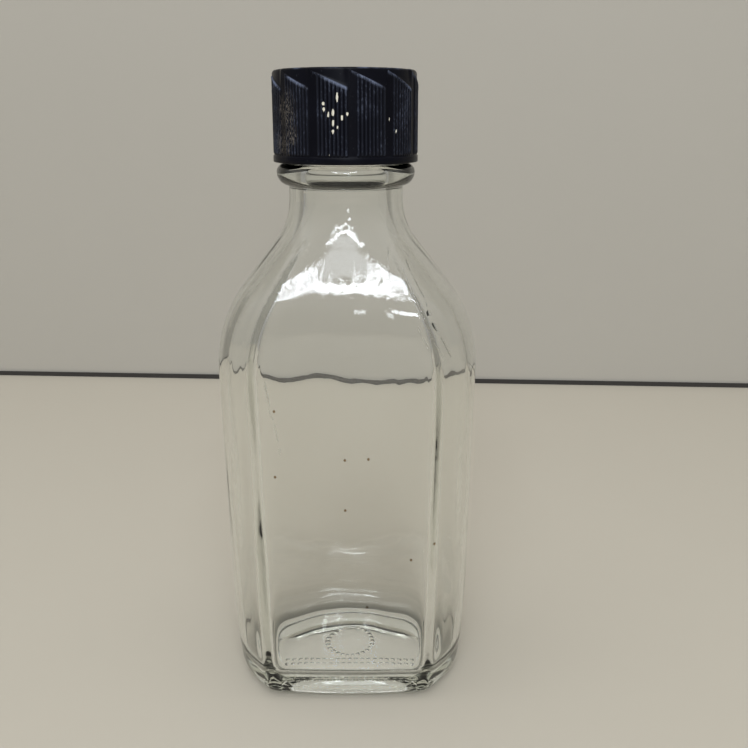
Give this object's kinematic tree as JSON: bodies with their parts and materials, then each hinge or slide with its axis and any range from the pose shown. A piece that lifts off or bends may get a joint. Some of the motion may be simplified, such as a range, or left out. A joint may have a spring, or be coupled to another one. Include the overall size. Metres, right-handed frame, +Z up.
{
  "type": "reagent bottle",
  "caption": "Clear flat-fronted glass reagent bottle with a rounded back and a ribbed black screw cap that unscrews from a threaded neck.",
  "frame": {"origin": "centre of the footprint, on the flat ring that the bottle stands on", "axes": "+Z up the neck, -Y the flat front panel, +Y the rounded back, +X the right side seen from the front"},
  "size_m": [0.052, 0.0364, 0.1247],
  "materials": {
    "clear_glass": "clear moulded flint glass with a faint green tint at thick edges",
    "black_plastic": "glossy black moulded plastic, scuffed on the ribs",
    "pulp_board": "matt fibrous board",
    "sealing_film": "satin white film"
  },
  "bodies": {
    "bottle": {"bottle": "clear_glass"},
    "liner": {"liner_backing": "pulp_board", "liner_facing": "sealing_film"},
    "cap": {"cap": "black_plastic"}
  },
  "joints": [
    {"name": "cap_rise", "type": "slide", "parent": "bottle", "child": "liner", "axis": [0, 0, 1], "range_m": [0, 0.016]},
    {"name": "cap_turn", "type": "hinge", "parent": "liner", "child": "cap", "pos_m": [0, 0, 0.1163], "axis": [0, 0, 1], "range_deg": [0, 1800]}
  ],
  "couplings": [
    {"joint": "cap_rise", "follows": "cap_turn", "m_per_rad": 0.00050532}
  ]
}
